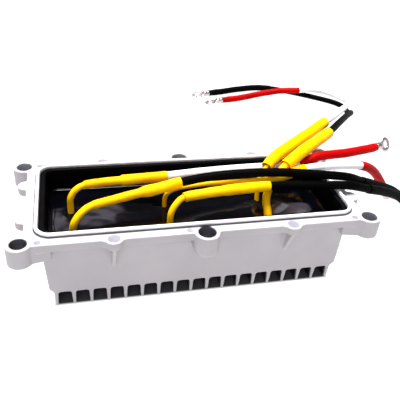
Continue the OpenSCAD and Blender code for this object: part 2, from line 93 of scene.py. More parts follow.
# ---------------------------------------------------------------- materials
class Shader:
    """A node tree with short calls for the nodes that the materials share."""

    def __init__(self, name):
        self.material = bpy.data.materials.new(name)
        self.material.use_nodes = True
        self.nodes = self.material.node_tree.nodes
        self.links = self.material.node_tree.links
        self.surface = self.nodes["Principled BSDF"]
        self.place = self.nodes.new("ShaderNodeTexCoord").outputs["Object"]

    def put(self, **values):
        """Set the surface's own sockets, whose names are written with _ for a space."""
        for name, value in values.items():
            self.surface.inputs[name.replace("_", " ")].default_value = value

    def noise(self, scale, detail, stretch=None):
        """Noise whose grain is about 1 / scale metres, drawn out along an axis by stretch."""
        place = self.place
        if stretch:
            mapping = self.nodes.new("ShaderNodeMapping")
            mapping.inputs["Scale"].default_value = stretch
            self.links.new(place, mapping.inputs["Vector"])
            place = mapping.outputs["Vector"]
        node = self.nodes.new("ShaderNodeTexNoise")
        node.inputs["Scale"].default_value = scale
        node.inputs["Detail"].default_value = detail
        self.links.new(place, node.inputs["Vector"])
        return node.outputs["Fac"]

    def ramp(self, value, stops):
        """The colour or grey level at a value, by stops of a position and a colour or level."""
        node = self.nodes.new("ShaderNodeValToRGB")
        ramp = node.color_ramp
        while len(ramp.elements) < len(stops):
            ramp.elements.new(0.5)
        for element, (position, color) in zip(ramp.elements, stops):
            element.position = position
            element.color = (*color, 1.0) if hasattr(color, "__len__") else (color, color, color, 1.0)
        self.links.new(value, node.inputs["Fac"])
        return node.outputs["Color"]

    def mix(self, factor, a, b):
        """Colour a where the factor is 0 and colour b where it is 1."""
        node = self.nodes.new("ShaderNodeMix")
        node.data_type = "RGBA"
        for key, value in (("Factor", factor), ("A", a), ("B", b)):
            socket = node.inputs[key]
            if isinstance(value, bpy.types.NodeSocket):
                self.links.new(value, socket)
            elif hasattr(value, "__len__"):
                socket.default_value = (*value, 1.0)
            else:
                socket.default_value = value
        return node.outputs["Result"]

    def math(self, how, a, b=0.5):
        """A Math node by its name, with sockets or numbers; b is unused where it takes one value."""
        node = self.nodes.new("ShaderNodeMath")
        node.operation = how
        for socket, value in zip(node.inputs, (a, b)):
            if isinstance(value, bpy.types.NodeSocket):
                self.links.new(value, socket)
            else:
                socket.default_value = value
        return node.outputs["Value"]

    def product(self, first, *others):
        """All the values multiplied, which for masks is where they overlap."""
        for other in others:
            first = self.math("MULTIPLY", first, other)
        return first

    def fade(self, value, start, end):
        """Eased from 0 where the value is start to 1 where it is end."""
        node = self.nodes.new("ShaderNodeMapRange")
        node.interpolation_type = "SMOOTHSTEP"
        node.inputs["From Min"].default_value = start
        node.inputs["From Max"].default_value = end
        self.links.new(value, node.inputs["Value"])
        return node.outputs["Result"]

    def vector_math(self, how, a, b=(0, 0, 0)):
        """A Vector Math node by its name, with a socket and a fixed vector."""
        node = self.nodes.new("ShaderNodeVectorMath")
        node.operation = how
        self.links.new(a, node.inputs[0])
        node.inputs[1].default_value = b
        return node.outputs["Value" if how in ("LENGTH", "DISTANCE") else "Vector"]

    def folded(self):
        """The place with its signs dropped, so that one spot stands for its mirror images too."""
        return self.vector_math("ABSOLUTE", self.place)

    def parts_of(self, vector):
        node = self.nodes.new("ShaderNodeSeparateXYZ")
        self.links.new(vector, node.inputs["Vector"])
        return node.outputs["X"], node.outputs["Y"], node.outputs["Z"]

    def spot(self, vector, middle, radius, edge=0.2 * MM):
        """1 inside an upright cylinder round the middle's x and y, and 0 outside it."""
        flat = self.vector_math("MULTIPLY", vector, (1, 1, 0))
        return self.fade(self.vector_math("DISTANCE", flat, (*middle, 0)), radius + edge, radius - edge)

    def past_outline(self, folded, half_x, half_y, corner):
        """How far out of an upright rounded box's outline a folded place is."""
        past = self.vector_math("SUBTRACT", folded, (half_x - corner, half_y - corner, 0))
        past = self.vector_math("MULTIPLY", self.vector_math("MAXIMUM", past), (1, 1, 0))
        return self.math("SUBTRACT", self.vector_math("LENGTH", past), corner)

    def color(self, socket):
        self.links.new(socket, self.surface.inputs["Base Color"])

    def roughness(self, value, low, high):
        """Roughness that runs from low to high as the value runs from 0 to 1."""
        node = self.nodes.new("ShaderNodeMapRange")
        node.inputs["To Min"].default_value = low
        node.inputs["To Max"].default_value = high
        self.links.new(value, node.inputs["Value"])
        self.links.new(node.outputs["Result"], self.surface.inputs["Roughness"])

    def bump(self, heights):
        """heights: pairs of a value and its height in metres, laid one on the other."""
        last = None
        for value, height in heights:
            node = self.nodes.new("ShaderNodeBump")
            node.inputs["Distance"].default_value = height
            self.links.new(value, node.inputs["Height"])
            if last:
                self.links.new(last, node.inputs["Normal"])
            last = node.outputs["Normal"]
        self.links.new(last, self.surface.inputs["Normal"])


def rubbed_marks(s, folded, height):
    """1 on the top of the round marks of the flange."""
    marks = s.math("MAXIMUM", s.spot(folded, SIDE_PAD, SIDE_PAD_R), s.spot(folded, EAR_MARK, SMALL_MARK_R))
    marks = s.math("MAXIMUM", marks, s.spot(s.place, MIDDLE_MARK, SMALL_MARK_R))
    return s.product(marks, s.fade(height, FLANGE_TOP - 1.2 * MM, FLANGE_TOP - 0.8 * MM))


def bolt_holes(s, folded):
    """1 inside the corner and side holes and on their walls."""
    clear = 0.1 * MM
    return s.math("MAXIMUM", s.spot(folded, CORNER_HOLE, CORNER_HOLE_R + clear),
                  s.spot(folded, SIDE_HOLE, SIDE_HOLE_R + clear))


def painted_bore_shade(s, height):
    """Painted shade down a hole: darker with depth, and far darker in the front holes than in the rear."""
    depth = s.fade(height, FLANGE_TOP - 0.2 * MM, FLANGE_TOP - 4.5 * MM)
    x, y, _ = s.parts_of(s.place)
    rear = s.fade(s.math("ADD", y, s.math("MULTIPLY", x, 0.3)), -42 * MM, 20 * MM)
    top = s.mix(rear, (0.05, 0.055, 0.075), (0.33, 0.34, 0.36))
    deep = s.mix(rear, (0.008, 0.008, 0.018), (0.22, 0.225, 0.25))
    return s.mix(depth, top, deep)


def gasket_foot_shade(s, folded, height):
    """1 along the gasket's foot, where a fine dark line of painted shade goes."""
    past = s.past_outline(folded, SEAL.x, SEAL.y, SEAL_CORNER * MM)
    return s.product(s.fade(past, -0.4 * MM, -0.1 * MM), s.fade(past, 0.8 * MM, 0.4 * MM),
                     s.fade(height, FLANGE_TOP - 0.6 * MM, FLANGE_TOP - 0.3 * MM))


def fin_gap_shade(s, folded):
    """1 between the cooling fins, under the floor of the housing and over the table, where painted shade
    goes.
    """
    x, y, z = s.parts_of(folded)
    return s.product(s.fade(y, FIN_FRONT - 0.3 * MM, FIN_FRONT - 2.2 * MM),
                     s.fade(z, FIN_TOP + 0.6 * MM, FIN_TOP), s.fade(x, END_FIN, END_FIN - 0.6 * MM),
                     s.fade(z, 0.05 * MM, 0.4 * MM))


def painted_casting():
    """Pale powder paint over a casting: dark with painted shade in the holes and between the fins,
    rubbed grey on the round marks, and with a fine dark line of painted shade round the gasket's foot."""
    s = Shader("painted_casting")
    cloud = s.noise(45, 4)
    speck = s.noise(2600, 2)
    peel = s.noise(1100, 2)
    folded = s.folded()
    height = s.parts_of(folded)[2]
    paint = s.ramp(cloud, [(0.3, (0.435, 0.415, 0.432)), (0.7, (0.475, 0.455, 0.468))])
    paint = s.mix(s.ramp(speck, [(0.60, 0.0), (0.72, 0.35)]), paint, (0.38, 0.37, 0.385))
    rubbed = s.ramp(s.noise(800, 3), [(0.3, (0.20, 0.19, 0.225)), (0.7, (0.29, 0.275, 0.31))])
    paint = s.mix(rubbed_marks(s, folded, height), paint, rubbed)
    # Painted shade in the bolt holes, darker with depth and in the front holes.
    paint = s.mix(bolt_holes(s, folded), paint, painted_bore_shade(s, height))
    # A fine dark line of painted shade round the gasket's foot.
    paint = s.mix(gasket_foot_shade(s, folded, height), paint, (0.06, 0.06, 0.065))
    # Painted shade: near black between the fins, where little light reaches.
    s.color(s.mix(fin_gap_shade(s, folded), paint, (0.012, 0.012, 0.014)))
    s.roughness(s.noise(300, 3), 0.42, 0.6)
    s.bump([(s.noise(120, 3), 0.0003), (peel, 0.00009), (speck, 0.00004)])
    s.put(Coat_Weight=0.1, Coat_Roughness=0.4, Specular_IOR_Level=0.4)
    return s.material


def silicone(name, dark, light, rough=(0.32, 0.5), grain=1500, shine=0.5):
    """Moulded or extruded silicone: nearly even colour, varied sheen and a fine grain."""
    s = Shader(name)
    s.color(s.ramp(s.noise(90, 3), [(0.3, dark), (0.7, light)]))
    s.roughness(s.noise(260, 3), *rough)
    s.bump([(s.noise(grain, 2), 0.00003), (s.noise(180, 2), 0.00012)])
    s.put(IOR=1.42, Specular_IOR_Level=shine)
    return s.material


def shrink_sleeve(name, deep, body, pale, shine=0.2, rough=(0.36, 0.52)):
    """Shrunk polyolefin: a smooth mottled skin with faint flow lines along x."""
    s = Shader(name)
    s.color(s.ramp(s.noise(70, 3), [(0.25, deep), (0.5, body), (0.8, pale)]))
    s.roughness(s.noise(420, 3), *rough)
    s.bump([(s.noise(240, 3, stretch=(0.35, 1, 1)), 0.00018), (s.noise(1800, 2), 0.000025)])
    s.put(IOR=1.46, Specular_IOR_Level=shine, Subsurface_Weight=0.1, Subsurface_Scale=0.001)
    return s.material


def poured_resin():
    """Potting resin: black gloss with soft waves and one painted reflection, a pale patch square with
    round corners.
    """
    s = Shader("poured_resin")
    black = s.ramp(s.noise(60, 4), [(0.35, (0.0006, 0.0006, 0.001)), (0.75, (0.002, 0.002, 0.004))])
    # The pale colour of the painted reflection
    cloud = s.ramp(s.noise(130, 4), [(0.25, (0.028, 0.027, 0.034)), (0.75, (0.060, 0.057, 0.070))])
    x, y, _ = s.parts_of(s.place)
    share = []
    for value, middle, half in ((x, PAINTED_GLARE_X, PAINTED_GLARE_L), (y, PAINTED_GLARE_Y, PAINTED_GLARE_W)):
        off = s.math("MULTIPLY", s.math("SUBTRACT", value, middle), 1 / half)
        share.append(s.math("POWER", s.math("ABSOLUTE", off), 4.0))
    # The painted reflection: pale inside the patch, black gloss outside it
    s.color(s.mix(s.fade(s.math("ADD", *share), 1.5, 0.4), black, cloud))
    s.roughness(s.noise(85, 3), 0.05, 0.12)
    s.bump([(s.noise(34, 2), 0.0005), (s.noise(900, 2), 0.000005)])
    s.put(IOR=1.5, Specular_IOR_Level=0.3)
    return s.material


def tinned_copper():
    """Tinned terminals: warm pale metal with a fine grain along x and soft dents."""
    s = Shader("tinned_copper")
    s.color(s.ramp(s.noise(500, 4), [(0.3, (0.52, 0.46, 0.46)), (0.7, (0.74, 0.67, 0.67))]))
    s.roughness(s.noise(700, 3), 0.22, 0.42)
    s.bump([(s.noise(1600, 3, stretch=(1, 6, 6)), 0.00002), (s.noise(350, 2), 0.00008)])
    s.put(Metallic=1.0)
    return s.material


def black_film():
    """The liner's thin black plastic, nearly without shine."""
    s = Shader("black_film")
    s.color(s.ramp(s.noise(120, 3), [(0.3, (0.0008, 0.0008, 0.001)), (0.7, (0.002, 0.002, 0.003))]))
    s.roughness(s.noise(300, 3), 0.4, 0.6)
    s.bump([(s.noise(60, 2), 0.0004), (s.noise(1500, 2), 0.00002)])
    s.put(Specular_IOR_Level=0.03)
    return s.material


def plain_part(name, dark, light, rough, metallic=0.0, grain=900):
    """For the parts that can't be seen: mottled colour, varied roughness and a fine grain."""
    s = Shader(name)
    s.color(s.ramp(s.noise(grain / 4, 4), [(0.3, dark), (0.7, light)]))
    s.roughness(s.noise(grain / 2, 3), *rough)
    s.bump([(s.noise(grain, 3), 0.00004)])
    s.put(Metallic=metallic)
    return s.material


LOOKS = {
    "housing_paint": painted_casting(),
    "gasket_silicone": silicone("gasket_silicone", (0.80, 0.80, 0.80), (0.88, 0.88, 0.87)),
    "tray_black": black_film(),
    "resin_black": poured_resin(),
    "pad_grey": plain_part("pad_grey", (0.3, 0.31, 0.33), (0.45, 0.46, 0.48), (0.7, 0.9)),
    "board_green": plain_part("board_green", (0.01, 0.10, 0.04), (0.03, 0.18, 0.08), (0.25, 0.4)),
    "screw_steel": plain_part("screw_steel", (0.5, 0.5, 0.5), (0.7, 0.7, 0.7), (0.25, 0.4), 1.0),
    "package_black": plain_part("package_black", (0.02, 0.02, 0.02), (0.05, 0.05, 0.05), (0.5, 0.7)),
    "film_yellow": plain_part("film_yellow", (0.6, 0.35, 0.02), (0.8, 0.5, 0.05), (0.3, 0.45)),
    "core_ferrite": plain_part("core_ferrite", (0.05, 0.05, 0.055), (0.1, 0.1, 0.11), (0.5, 0.8)),
    "former_ivory": plain_part("former_ivory", (0.65, 0.6, 0.5), (0.8, 0.76, 0.66), (0.4, 0.6)),
    "winding_copper": plain_part("winding_copper", (0.5, 0.2, 0.07), (0.8, 0.4, 0.2), (0.2, 0.35), 1.0),
    "sleeve_yellow": shrink_sleeve("sleeve_yellow", (0.95, 0.45, 0.0), (1.0, 0.54, 0.0),
                                   (1.0, 0.64, 0.0), shine=0.06),
    "wire_white": silicone("wire_white", (0.92, 0.91, 0.92), (0.97, 0.96, 0.97), shine=0.3),
    "wire_black": silicone("wire_black", (0.0005, 0.0005, 0.0006), (0.0013, 0.0013, 0.0016), (0.5, 0.65),
                           shine=0.025),
    "sleeve_red": shrink_sleeve("sleeve_red", (0.34, 0.0, 0.0), (0.44, 0.0, 0.0), (0.54, 0.001, 0.001),
                                shine=0.06, rough=(0.5, 0.65)),
    "sleeve_black": shrink_sleeve("sleeve_black", (0.0008, 0.0008, 0.001), (0.0015, 0.0015, 0.002),
                                  (0.003, 0.003, 0.004), shine=0.025, rough=(0.5, 0.65)),
    "tinned_copper": tinned_copper(),
}
SLOT_OF = {row["node"]: row["material_slot"] for row in frame["record"]["subparts"]}
for name, obj in frame["nodes"].items():
    obj.data.materials.clear()
    obj.data.materials.append(LOOKS[SLOT_OF[name]])


# ---------------------------------------------------------------- mesh helpers
def add_piece(name, mesh, slot, nodes=()):
    """A smooth-shaded piece on the root body, with its slot's material, in place of the CAD nodes."""
    obj = bpy.data.objects.new(name, mesh)
    bpy.context.scene.collection.objects.link(obj)
    mesh.materials.clear()
    mesh.materials.append(LOOKS[slot])
    mesh.polygons.foreach_set("use_smooth", [True] * len(mesh.polygons))
    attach(obj, BODY)
    if nodes:
        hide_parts(*nodes)
    return obj


def mesh_of_rings(name, rings, loop=False):
    """A mesh skinned over rings of equal point counts, capped at both ends or closed into a loop."""
    n = len(rings[0])
    points = [p for ring in rings for p in ring]
    faces = []
    count = len(rings) if loop else len(rings) - 1
    for i in range(count):
        a, b = i * n, ((i + 1) % len(rings)) * n
        faces += [(a + k, a + (k + 1) % n, b + (k + 1) % n, b + k) for k in range(n)]
    if not loop:
        faces += [tuple(range(n - 1, -1, -1)), tuple((len(rings) - 1) * n + k for k in range(n))]
    mesh = bpy.data.meshes.new(name)
    mesh.from_pydata(points, [], faces)
    mesh.validate()
    bm = bmesh.new()
    bm.from_mesh(mesh)
    bmesh.ops.recalc_face_normals(bm, faces=bm.faces)
    bm.to_mesh(mesh)
    bm.free()
    return mesh


# ---------------------------------------------------------------- leads
# Each lead's centre line in mm, from inside the resin to its terminal
ROUTES = {
    "a": [(-73, 5, 37), (-73, 5, 43), (-72.5, 4.5, 48.5), (-69.5, 5.5, 53), (-64, 8, 54.5),
          (-54, 10, 54.5), (-42, 11, 54.5), (-28, 12, 54.5), (-14, 13, 54.5), (8, 17, 53.5), (31, 21, 52),
          (54, 24, 50.6), (68, 24, 50.6), (79, 22, 52.6), (91, 22.5, 57.2), (103, 25.5, 56.5),
          (116, 30, 54.5), (132, 37, 52), (142, 41.5, 50.5), (149, 45, 49.5)],
    "b": [(-73, -18, 37), (-72.5, -19, 42), (-71, -19.5, 48), (-67, -17.5, 52.5), (-61, -14.5, 54.8),
          (-48, -11.5, 56), (-33, -8.5, 57.5), (-21, -7, 59), (-8.5, -4.5, 60.5), (6.5, -3, 62),
          (22, -4, 63.8), (42, -6, 65), (60, -7.2, 64.5), (78, -8.5, 62.8), (89, -9, 61.6),
          (101, -6.5, 58), (115, 0, 50), (132, 7.5, 41), (150, 15.5, 31), (162, 20.5, 22.5),
          (172, 26, 14.5), (179, 31, 9)],
    "c": [(-16, 5, 37), (-16, 4.5, 43), (-14.5, 3, 48.5), (-8.5, 1.5, 52.5), (5, 1, 54.5),
          (18, -1.5, 56.5), (34, -4.5, 58.8), (46, -4.2, 59), (58, 0, 57.8), (66, 4, 57.2), (76, 8, 57),
          (86, 9.8, 57), (96, 10, 57), (107, 10.5, 56.5), (120, 14, 53.5), (131, 20, 47.5),
          (142, 27, 38.5), (154, 35, 26), (164, 41, 14), (168, 43, 8.5)],
    "d": [(-16, -18, 37), (-16.5, -18, 42), (-16, -17.5, 48), (-13, -15.5, 52.5), (-7.5, -12.5, 55),
          (5, -12, 56.5), (17, -12.5, 58), (31, -12, 58.5), (45, -11.5, 58.5), (60, -11, 57.8),
          (79, -12, 56.9), (90, -12.5, 56.8), (101, -12, 55), (117, -6.5, 48), (134, 1, 40),
          (152, 9, 30), (164, 12.5, 20.5), (172, 15.5, 12.5), (177, 17, 7.5)],
    "e": [(45, 5, 37), (45, 6.5, 43), (45.5, 9, 47.5), (48, 12, 52), (53, 16, 55.5), (60, 22.5, 58),
          (71, 32, 58.3), (87, 45, 58.5), (102, 57, 59), (116, 69, 59), (139, 95, 53), (168, 136, 38),
          (197, 180, 20), (219, 215, 8.5), (221, 233, 4.2), (209, 245.5, 6), (191, 247, 9.4),
          (173, 244, 10.4), (153, 247.5, 8.8), (134, 250, 5.2), (117, 247.5, 3.4), (102, 243, 3.2),
          (86, 240, 3.2)],
    "f": [(45, -18, 37), (45, -15.5, 42), (45.5, -9, 47), (50, -1, 51.5), (57.5, 6.5, 54.7),
          (64, 11.5, 58.4), (77.5, 21, 61.6), (93.5, 35, 60.8), (113, 54, 58), (141, 90, 48),
          (171, 131.5, 33.5), (199, 172, 16.5), (210, 196, 5.5), (214, 210, 3), (212, 222, 2.8),
          (204, 232, 2.8), (188, 245, 2.8), (174, 255, 2.8), (160, 263, 3), (149, 268, 3.2),
          (132, 271, 3.2), (110, 267.5, 3.2), (92, 262.5, 3.2), (76, 259, 3.2)],
}
# For each lead: the tail sleeve's radius in mm; route points with a radius along the splice sleeve;
# the route points where the wire and its end sleeve start; the roll and tilt of the terminal's
# tongue, in degrees; and the colours of the wire and of its end sleeve
LEADS = {
    "a": dict(tail=1.9, splice=[(4, 2.55), (5.95, 2.6), (6.05, 3.25), (8, 3.2)], crimp=7, sleeve=13,
              roll=60, tilt=0, wire="white", end="red"),
    "b": dict(tail=2.1, splice=[(4.1, 2.5), (5.9, 2.7), (6.3, 3.5), (6.9, 3.35), (8, 3.25)], crimp=6,
              sleeve=16, roll=10, tilt=-23, wire="black", end="black"),
    "c": dict(tail=1.35, splice=[(7, 3.1), (10, 3.15)], crimp=8, sleeve=14, roll=10, tilt=-41,
              wire="white", end="red"),
    "d": dict(tail=1.9, splice=[(4, 2.95), (5.9, 3.1), (6.1, 3.35), (8, 3.25)], crimp=6, sleeve=13,
              roll=-10, tilt=-40, wire="black", end="black"),
    "e": dict(tail=1.5, splice=[(4, 3.7), (5.5, 4.1), (7.3, 4.15), (7.6, 3.95), (9, 4.05)], crimp=7,
              sleeve=17, roll=6, tilt=8, wire="white", end="red"),
    "f": dict(tail=2.5, splice=[(5, 3.9), (6.9, 4.15), (7.1, 3.9), (8, 4.0)], crimp=6,
              sleeve=19, roll=-6, tilt=8, wire="black", end="black"),
}
WIRE_R = 2.7
CRIMP_R = 2.4
TAIL_WIRE_R = 1.2
SPLICE_WALL = 0.4
END_SLEEVE_R = 3.15
SLEEVE_GAP = 0.05
# Steps from one route point to the next, and points round a tube
STEPS = 12
SIDES = 28
# How far a tube's rim is rounded, in mm, and how far it then stands out, in route points
RIM_ROUND = 0.12
RIM_REACH = 0.012
# How fine the unevenness of the sleeves is
WOBBLE_GRAIN = 260


def curve_point(a, b, c, d, t):
    """The Catmull-Rom curve's point between b and c."""
    return 0.5 * (2 * b + (c - a) * t + (2 * a - 5 * b + 4 * c - d) * t * t
                  + (3 * b - a - 3 * c + d) * t * t * t)


class Route:
    """A lead's smooth centre line, with a direction and a side that doesn't twist at each point."""

    def __init__(self, points):
        p = [Vector(q) * MM for q in points]
        ends = [2 * p[0] - p[1], *p, 2 * p[-1] - p[-2]]
        self.line = [curve_point(*ends[i:i + 4], k / STEPS)
                     for i in range(len(p) - 1) for k in range(STEPS)]
        self.line.append(p[-1])
        last = len(self.line) - 1
        self.ahead = [(self.line[min(i + 1, last)] - self.line[max(i - 1, 0)]).normalized()
                      for i in range(last + 1)]
        self.ahead[0] = Vector((0, 0, 1))
        self.side = []
        side = Vector((0, 1, 0))
        for ahead in self.ahead:
            side = (side - side.dot(ahead) * ahead).normalized()
            self.side.append(side)

    def at(self, u):
        """The place, side and up vectors at route point number u, or just short of the last one."""
        x = min(max(u * STEPS, 0), len(self.line) - 1.0001)
        i = int(x)
        t = x - i
        side = self.side[i].lerp(self.side[i + 1], t).normalized()
        ahead = self.ahead[i].lerp(self.ahead[i + 1], t).normalized()
        return self.line[i].lerp(self.line[i + 1], t), side, ahead.cross(side)

    def ring(self, u, radius, wobble=0.0):
        """The points round the line at route point number u, made uneven by wobble, in mm."""
        middle, side, up = self.at(u)
        ring = []
        for k in range(SIDES):
            angle = 2 * math.pi * k / SIDES
            out = math.cos(angle) * side + math.sin(angle) * up
            r = radius * MM
            if wobble:
                r += wobble * MM * noise.noise((middle + out * r) * WOBBLE_GRAIN)
            ring.append(middle + out * r)
        return ring


def radius_at(stops, u):
    """The radius between the stops, eased from one to the next."""
    for (u0, r0), (u1, r1) in zip(stops, stops[1:]):
        if u <= u1:
            t = min(max((u - u0) / (u1 - u0), 0), 1)
            return r0 + (r1 - r0) * t * t * (3 - 2 * t)
    return stops[-1][1]


def tube(route, name, stops, slot, nodes, wobble=0.0, inner=None):
    """A swept tube whose radius follows stops; inner makes it hollow, and its rims are rounded."""
    first, last = stops[0][0], stops[-1][0]
    count = max(4, int((last - first) * STEPS * 1.5))
    along = [first + (last - first) * i / count for i in range(count + 1)]
    low, high = first - RIM_REACH, last + RIM_REACH
    rings = [route.ring(low, stops[0][1] - RIM_ROUND)]
    rings += [route.ring(u, radius_at(stops, u), wobble) for u in along]
    rings.append(route.ring(high, stops[-1][1] - RIM_ROUND))
    if inner:
        rings += [route.ring(u, inner) for u in (high, *reversed(along), low)]
    mesh = mesh_of_rings(name, rings, loop=bool(inner))
    return add_piece(name, mesh, slot, nodes)


BARREL_L = 5.5
BARREL_SIDES = 32
RING_R, RING_HOLE_R, RING_X, RING_SIDES = 5.5, 2.65, 8.0, 48
TONGUE_T = 1.0
TONGUE_EDGE = 0.16
# The tongue's bend is spread over this length
BEND_L = 1.5
# The groove along the barrel where its sheet meets: its depth as a share of the radius, its width as
# an angle, and the place along the terminal where it ends
GROOVE_DEPTH, GROOVE_WIDTH, GROOVE_END = 0.16, 0.2, 6
# Sections of a terminal from its stem to its tongue: place along it, half width, half height and
# how square the section is, from 1 for round to 0.3 for a flat bar
TERMINAL_ROWS = [(-2.5, 1.8, 1.8, 1), (-0.1, 1.8, 1.8, 1), (0, 2.7, 2.7, 1), (0.25, 2.95, 2.95, 1),
                 (1.2, 3.0, 3.0, 1), (1.9, 2.9, 2.9, 1), (2.5, 2.75, 2.7, 1), (3.1, 2.75, 2.7, 1),
                 (3.7, 2.9, 2.9, 1), (4.5, 3.0, 3.0, 1), (5.2, 2.95, 2.8, 1), (5.9, 2.8, 2.2, 0.9),
                 (6.6, 2.65, 1.5, 0.7), (7.3, 2.5, 0.9, 0.5), (8.0, 2.5, 0.55, 0.35),
                 (9.6, 2.6, 0.5, 0.3)]


def terminal_barrel(bm, bent):
    """The crimped barrel, narrowing to a flat tongue, with the groove where its sheet meets."""
    loops = []
    for x, half_w, half_h, square in TERMINAL_ROWS:
        loop = []
        for k in range(BARREL_SIDES):
            a = 2 * math.pi * k / BARREL_SIDES
            groove = math.exp(-((a - math.pi / 2) / GROOVE_WIDTH) ** 2) if 0 < x < GROOVE_END else 0
            share = 1 - GROOVE_DEPTH * groove
            y = half_w * math.copysign(abs(math.cos(a)) ** square, math.cos(a))
            z = half_h * math.copysign(abs(math.sin(a)) ** square, math.sin(a))
            loop.append(bm.verts.new(bent(x, y * share, z * share)))
        loops.append(loop)
    for a, b in zip(loops, loops[1:]):
        for k in range(BARREL_SIDES):
            j = (k + 1) % BARREL_SIDES
            bm.faces.new((a[k], a[j], b[j], b[k]))
    bm.faces.new(loops[0][::-1])
    bm.faces.new(loops[-1])


def terminal_ring(bm, bent):
    """The flat ring at the end of the tongue, with soft edges."""
    soft, half = TONGUE_EDGE, TONGUE_T / 2
    profile = [(RING_HOLE_R, -half + soft), (RING_HOLE_R + soft, -half), (RING_R - soft, -half),
               (RING_R, -half + soft), (RING_R, half - soft), (RING_R - soft, half),
               (RING_HOLE_R + soft, half), (RING_HOLE_R, half - soft)]
    ring = []
    for k in range(RING_SIDES):
        a = 2 * math.pi * k / RING_SIDES
        ring.append([bm.verts.new(bent(BARREL_L + RING_X + r * math.cos(a), r * math.sin(a), z))
                     for r, z in profile])
    for k in range(RING_SIDES):
        a, b = ring[k], ring[(k + 1) % RING_SIDES]
        for j in range(len(profile)):
            i = (j + 1) % len(profile)
            bm.faces.new((a[j], a[i], b[i], b[j]))


def terminal_mesh(name, lead, route):
    """A crimped barrel that narrows to a tongue and a ring, bent where the tongue starts."""
    tilt, roll = math.radians(LEADS[lead]["tilt"]), math.radians(LEADS[lead]["roll"])

    def bent(x, y, z):
        past = x - BARREL_L
        if past <= 0:
            return Vector((x, y, z))
        share = min(past / BEND_L, 1)
        bend = Matrix.Rotation(tilt * share, 3, "Y") @ Matrix.Rotation(roll * share, 3, "X")
        return Vector((BARREL_L, 0, 0)) + bend @ Vector((past, y, z))

    bm = bmesh.new()
    terminal_barrel(bm, bent)
    terminal_ring(bm, bent)
    v = route.line[-1] - route.line[-1 - STEPS // 2]
    heading = Matrix.Rotation(math.atan2(v.y, v.x), 4, "Z")
    dip = Matrix.Rotation(math.atan2(-v.z, math.hypot(v.x, v.y)), 4, "Y")
    bm.transform(Matrix.Translation(route.line[-1]) @ heading @ dip @ Matrix.Scale(MM, 4))
    bmesh.ops.recalc_face_normals(bm, faces=bm.faces)
    mesh = bpy.data.meshes.new(name)
    bm.to_mesh(mesh)
    bm.free()
    return mesh


def make_lead(lead):
    """A lead's five pieces in place of its CAD nodes."""
    data = LEADS[lead]
    route = Route(ROUTES[lead])
    count = len(ROUTES[lead]) - 1
    node = f"lead_{lead}_"
    splice, crimp, sleeve = data["splice"], data["crimp"], data["sleeve"]
    tail = tube(route, node + "tail", [(0, data["tail"]), (crimp, data["tail"])], "sleeve_yellow",
                [node + "tail_sleeve"], wobble=0.05)
    cover = tube(route, node + "splice", splice, "sleeve_yellow", [node + "splice_sleeve"],
                 wobble=0.12, inner=min(r for _, r in splice) - SPLICE_WALL)
    end_stops = [(sleeve, END_SLEEVE_R), (count - 0.9, END_SLEEVE_R), (count - 0.5, END_SLEEVE_R + 0.1),
                 (count - 0.25, END_SLEEVE_R - 0.1), (count - 0.02, END_SLEEVE_R - 0.3)]
    end = tube(route, node + "end", end_stops, "sleeve_" + data["end"], [node + "end_sleeve"],
               wobble=0.1, inner=WIRE_R + SLEEVE_GAP)
    terminal = add_piece(node + "terminal", terminal_mesh(node + "terminal", lead, route),
                         "tinned_copper", [node + "ring_terminal"])
    wire_stops = [(0, TAIL_WIRE_R), (crimp, TAIL_WIRE_R), (crimp + 0.02, CRIMP_R), (crimp + 0.5, CRIMP_R),
                  (crimp + 0.52, WIRE_R), (count - 0.5, WIRE_R)]
    wire = tube(route, node + "core", wire_stops, "wire_" + data["wire"], [node + "wire"])


for lead in ROUTES:
    make_lead(lead)


# ---------------------------------------------------------------- housing
def soft_casting(name, node, voxel, faces):
    """The CAD shape with every edge rounded as a casting's are, by remeshing and smoothing it."""
    obj = bpy.data.objects.new(name + "_source", frame["nodes"][node].data.copy())
    bpy.context.scene.collection.objects.link(obj)
    remesh = obj.modifiers.new("remesh", "REMESH")
    remesh.mode = "VOXEL"
    remesh.voxel_size = voxel
    smooth = obj.modifiers.new("smooth", "SMOOTH")
    smooth.factor = 0.5
    smooth.iterations = 5
    thin = obj.modifiers.new("thin", "DECIMATE")
    bpy.context.view_layer.update()
    thin.ratio = faces
    mesh = bpy.data.meshes.new_from_object(obj.evaluated_get(bpy.context.evaluated_depsgraph_get()))
    mesh.name = name
    bpy.data.objects.remove(obj)
    return mesh


VOXEL = 0.45 * MM
FACES_KEPT = 0.35
add_piece("casting", soft_casting("casting", "housing", VOXEL, FACES_KEPT), "housing_paint", ["housing"])


# ---------------------------------------------------------------- rim, tray and resin
# Steps round a corner and along a side of every loop
CORNER_STEPS, SIDE_STEPS = 14, 24
# How fine the waves of the gasket and the liner are
BAND_GRAIN = 35


def rounded_loop(half_l, half_w, radius, z):
    """Points round a rectangle with round corners, the same number whatever its size."""
    corners = []
    for x, y, start in [(1, 1, 0), (-1, 1, 90), (-1, -1, 180), (1, -1, 270)]:
        corner = []
        for k in range(CORNER_STEPS + 1):
            a = math.radians(start + 90 * k / CORNER_STEPS)
            corner.append(Vector((x * (half_l - radius) + radius * math.cos(a),
                                  y * (half_w - radius) + radius * math.sin(a), z)) * MM)
        corners.append(corner)
    loop = []
    for corner, following in zip(corners, corners[1:] + corners[:1]):
        loop += corner
        loop += [corner[-1].lerp(following[0], k / SIDE_STEPS) for k in range(1, SIDE_STEPS)]
    return loop


def band(name, profile, slot, nodes, wave):
    """A closed band swept round the rim, wavy by wave mm: profile rows are (half length, half width,
    corner radius, z)."""
    rings = [rounded_loop(*row) for row in profile]
    for ring in rings:
        for p in ring:
            p.z += wave * MM * noise.noise(p * BAND_GRAIN)
    return add_piece(name, mesh_of_rings(name, rings, loop=True), slot, nodes)


seal_low, seal_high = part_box("rim_gasket")
SEAL_L, SEAL_W, SEAL_TOP = seal_high / MM
SEAL_Z = seal_low.z / MM
